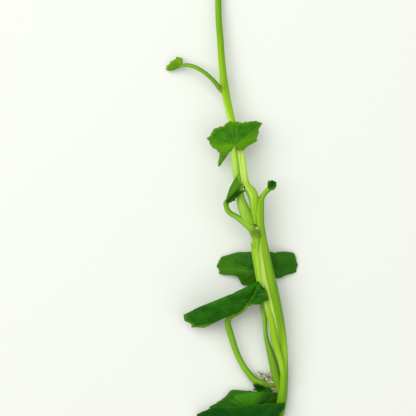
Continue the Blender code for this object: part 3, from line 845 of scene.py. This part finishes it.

# The lighter leaf under the dark one, its toothed top edge showing, with painted
# shade in the fold at its right end
blade("low_rear_leaf_blade", (6.7, -73.4, 2.9), [
    rib((0.0, -77.0, 0.6)),
    rib((-5.0, -75.5, 0.4), rise=0.3, notch=0.10),
    rib((-7.6, -72.3, 0.3), rise=0.4, notch=0.02),
    rib((-4.8, -70.4, 0.6), rise=0.4, notch=0.01, tint=0.2, band=2.6),
    rib((-2.0, -68.4, 1.4), rise=0.4, notch=0.0, vein=0.6, tint=0.5, band=2.4),
    rib((0.1, -66.2, 2.2), rise=0.3, notch=0.02, tint=0.9, band=2.2),
    rib((6.0, -66.4, 2.8), rise=0.2, notch=0.04, vein=0.7, tint=1.0, band=0.6),
    rib((10.6, -66.6, 2.2), rise=0.2, notch=0.04, tint=0.6),
    rib((12.6, -66.8, 1.8), rise=0.3, notch=0.04, vein=0.2, tint=-0.5),
    rib((15.3, -67.4, 1.2), rise=0.3, notch=0.04, vein=0.5, tint=-0.5),
    rib((15.0, -71.0, 1.0), tint=-0.4),
], under_blade, "bright_blade", tooth=0.2, pitch=2.2,
    stains=[((15.5, -67.8, 1.3), 0.8, 0.6), ((15.4, -69.2, 1.2), 0.7, 0.6)])

# Two torn scraps of old leaf, one caught under the foot of the large stalk and one
# wrapped over its bend, the wrapped one darkened in patches by painted shade
blade("old_leaf_scrap", (14.0, -65.9, 1.9), [
    rib((13.0, -67.4, 1.4), vein=0.2),
    rib((10.6, -67.9, 1.3), notch=0.12, vein=0.2),
    rib((7.6, -67.4, 1.4), notch=0.2, vein=0.4),
    rib((6.9, -66.2, 1.8), notch=0.1, vein=0.2),
    rib((8.2, -65.1, 1.9), vein=0.1),
], under_blade, "dark_blade", tooth=0.3, pitch=1.0, bulge=0.05, wave=0.1)
blade("wrapped_leaf_scrap", (11.2, -65.7, 2.4), [
    rib((8.6, -66.1, 2.2), notch=0.1, vein=0.1, tint=-0.5),
    rib((7.4, -65.2, 2.6), over=(8.9, -65.5, 3.1), notch=0.1, vein=0.2, tint=-0.2),
    rib((6.9, -64.1, 3.6), over=(8.8, -65.0, 3.8), notch=0.15, vein=0.2, tint=-0.5),
    rib((8.3, -63.9, 4.0), over=(9.7, -64.9, 3.9), notch=0.1, vein=0.3, tint=-0.2),
    rib((10.2, -64.7, 3.9), over=(10.7, -65.2, 3.6), vein=0.1, tint=-0.5),
], deep_blade, "dark_blade", tooth=0.2, pitch=1.1, bulge=0.05, wave=0.1)

# The young leaf at the end of the short stem, still cupped, with painted shade
# darkening the inside of the cup and a dark spot of it in the hollow
blade("curled_leaf", (12.3, 1.0, 9.5), [
    rib((11.8, 1.5, 9.8), vein=0.2, tint=0.6),
    rib((11.7, 2.5, 10.3), over=(11.9, 1.8, 10.0), notch=0.03, vein=0.3),
    rib((12.2, 3.7, 10.5), over=(12.1, 2.6, 10.0), notch=0.10, vein=0.3, tint=0.9),
    rib((13.3, 3.8, 10.6), over=(12.9, 2.7, 9.6), notch=0.03, vein=0.3, tint=-1.0,
        band=0.5),
    rib((14.5, 3.2, 10.6), over=(13.8, 2.3, 9.6), notch=0.03, vein=0.3, tint=-1.0,
        band=0.5),
    rib((14.6, 1.9, 10.2), over=(13.7, 1.5, 9.7), notch=0.03, vein=0.3, tint=0.2),
    rib((14.0, 0.8, 9.9), over=(13.2, 0.9, 9.8), vein=0.3, tint=0.9),
    rib((12.8, 0.5, 9.5), vein=0.2, tint=0.9),
], shaded_blade, "young_blade", tooth=0.12, pitch=1.3, bulge=0.03, wave=0.0,
    # Painted shade: the dark spot in the hollow of the cup
    stains=[((13.2, 2.9, 9.8), 0.40, 0.5)])


def young_ribs(foot, heading, size, droop):
    """The veins of a small flat leaf that points along heading, in radians."""
    ribs = []
    for turn, share in ((-2.35, 0.55), (-1.8, 0.8), (-0.9, 0.95), (0.0, 1.0),
                        (0.9, 0.95), (1.8, 0.8), (2.35, 0.55)):
        angle = heading - turn
        reach = size * share
        tip = (
            foot[0] + math.cos(angle) * reach,
            foot[1] + math.sin(angle) * reach,
            foot[2] - droop * share,
        )
        ribs.append(rib(tip, rise=0.3, notch=0.15))
    return ribs


# The small leaves at the growing tip, the last one straight from the stem
for node, foot, heading, size, droop in (
    ("tip_left_leaf_blade", (-9.9, 73.9, 1.7), 2.4, 3.9, 1.2),
    ("tip_right_leaf_blade", (0.6, 76.4, 1.3), 0.6, 3.2, 0.9),
):
    blade(node, foot, young_ribs(foot, heading, size, droop), young_blade,
          "young_blade", tooth=0.3, pitch=1.2, bulge=0.06, wave=0.05)
end_foot = (-4.4, 79.1, 1.3)
blade("tip_end_leaf", end_foot, young_ribs(end_foot, 1.7, 2.9, 0.8)[1:-1],
      young_blade, "young_blade", tooth=0.3, pitch=1.2, bulge=0.05, wave=0.05)


# The rootlets and the bud. Fine pale threads that grew from the low node into the
# water, now dried on and around the widened foot of the large stalk with a pale bit of
# skin, and a small dry bud in the corner between the arms of the upper fork.
root_white = stem_finish(
    "rootlet", deep=(0.075, 0.085, 0.020), lime=(0.26, 0.30, 0.12),
    pale=(0.60, 0.62, 0.42), stain=(0.16, 0.12, 0.04),
)
rootlets = strand_sheet()
chance = random.Random(11)
for k in range(56):
    start = Vector((15.6 - 0.11 * k, -64.3 + 0.014 * k, 3.9 - 0.02 * k))
    heading = 1.9 + chance.uniform(-0.6, 0.6)
    reach = chance.uniform(1.6, 5.4 - 0.03 * k)
    bend = chance.uniform(-0.9, 1.2)
    lightness = chance.choice((0.2, 0.8, 1.2))
    path = []
    for i in range(6):
        share = i / 5
        angle = heading + bend * share
        path.append((
            start.x + math.cos(angle) * reach * share,
            start.y + math.sin(angle) * reach * share,
            start.z + 0.5 * math.sin(math.pi * share) - 1.6 * share * share,
            0.16 - 0.08 * share,
        ))
    strand(rootlets, path, [lightness, lightness], sides=8, step=0.3, ridge=0.0)
strand(rootlets, [(13.3, -65.9, 2.5, 0.20), (14.4, -65.8, 2.8, 0.30),
                  (15.4, -65.9, 2.9, 0.20)], [1.2, 1.2], sides=12, step=0.2, ridge=0.0)
add_piece("rootlets", rootlets, root_white, "stalk")

fork_bud = strand_sheet()
strand(fork_bud, [(7.2, -10.7, 10.3, 0.18), (7.7, -11.0, 10.6, 0.32),
                  (8.1, -11.4, 10.5, 0.20)], [-0.4, -0.4], sides=14, step=0.1)
strand(fork_bud, [(7.9, -11.7, 10.6, 0.16), (8.2, -12.0, 10.8, 0.26),
                  (8.4, -12.5, 10.7, 0.14)], [1.3, 1.3], sides=14, step=0.1)
add_piece("fork_bud", fork_bud, root_white, "stalk")


# The floor and the light. A plain pale surface, a broad soft light from the upper
# left, a weaker one from the right and an even sky.
floor_sheet = bmesh.new()
bmesh.ops.create_grid(floor_sheet, x_segments=1, y_segments=1, size=3.0)
floor_mesh = bpy.data.meshes.new("floor")
floor_sheet.to_mesh(floor_mesh)
floor_sheet.free()
floor = bpy.data.objects.new("floor", floor_mesh)
bpy.context.scene.collection.objects.link(floor)
paper, paper_shader, _ = bare_material("pale floor", 0.2, 0.0, (1, 1, 1))
paper_shader.inputs["Base Color"].default_value = (0.78, 0.80, 0.74, 1.0)
paper_shader.inputs["Roughness"].default_value = 0.9
floor_mesh.materials.append(paper)


def soft_light(name, place, size, power):
    """A square soft light at a place, turned to the middle of the shoot."""
    lamp = bpy.data.lights.new(name, "AREA")
    lamp.size = size
    lamp.energy = power
    light = bpy.data.objects.new(name, lamp)
    light.location = place
    light.rotation_euler = (-Vector(place)).to_track_quat("-Z", "Y").to_euler()
    bpy.context.scene.collection.objects.link(light)


soft_light("window light", (-0.40, 0.28, 0.75), 1.0, 8.0)
soft_light("fill light", (0.5, -0.2, 0.8), 1.0, 3.0)
sky = bpy.data.worlds.new("even sky")
sky.use_nodes = True
sky.node_tree.nodes["Background"].inputs["Color"].default_value = (1.0, 1.0, 1.0, 1.0)
sky.node_tree.nodes["Background"].inputs["Strength"].default_value = 0.40
bpy.context.scene.world = sky
